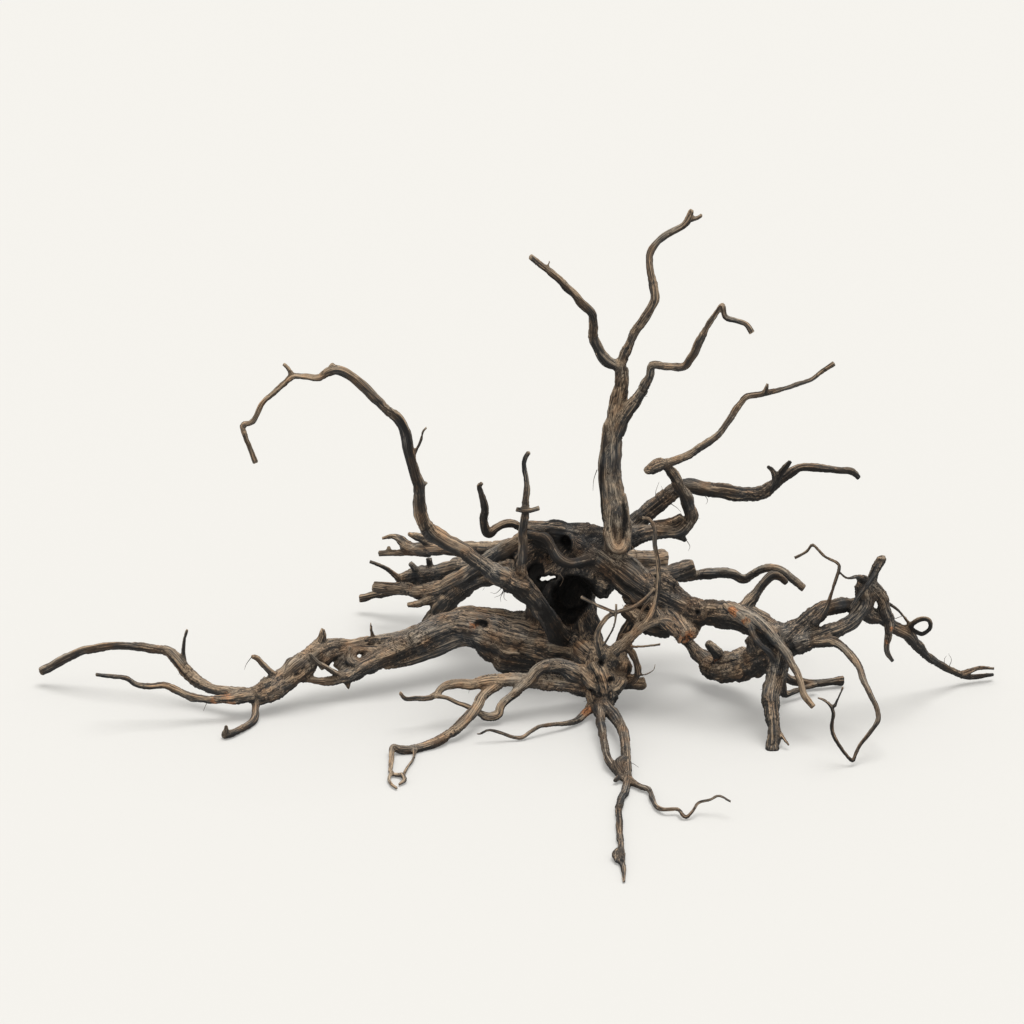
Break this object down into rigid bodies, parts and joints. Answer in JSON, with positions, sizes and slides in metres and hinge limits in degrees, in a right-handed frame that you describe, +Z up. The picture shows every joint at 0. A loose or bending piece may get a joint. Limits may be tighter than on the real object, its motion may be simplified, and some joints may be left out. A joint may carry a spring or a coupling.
{
  "type": "dry tree root",
  "caption": "Dry weathered tree root lying on its root tips, with heavy arms to both sides, an upright forked stem, a tall hooked side root and thin wiry rootlets.",
  "frame": {"origin": "on the surface that the root lies on, under the middle of its box", "axes": "+X to the right along the spread of the two heavy arms, +Y to the back, away from the long thin root that lies out in front, +Z up from the surface"},
  "size_m": [1.2141, 0.791, 0.615],
  "materials": {
    "weathered_root_wood": "dry, matt, dark grey-brown root wood with long fibrous grooves, paler tan ridges, near-black furrows and a few torn orange-brown spots"
  },
  "bodies": {
    "root": {"dry_root": "weathered_root_wood"}
  },
  "joints": []
}
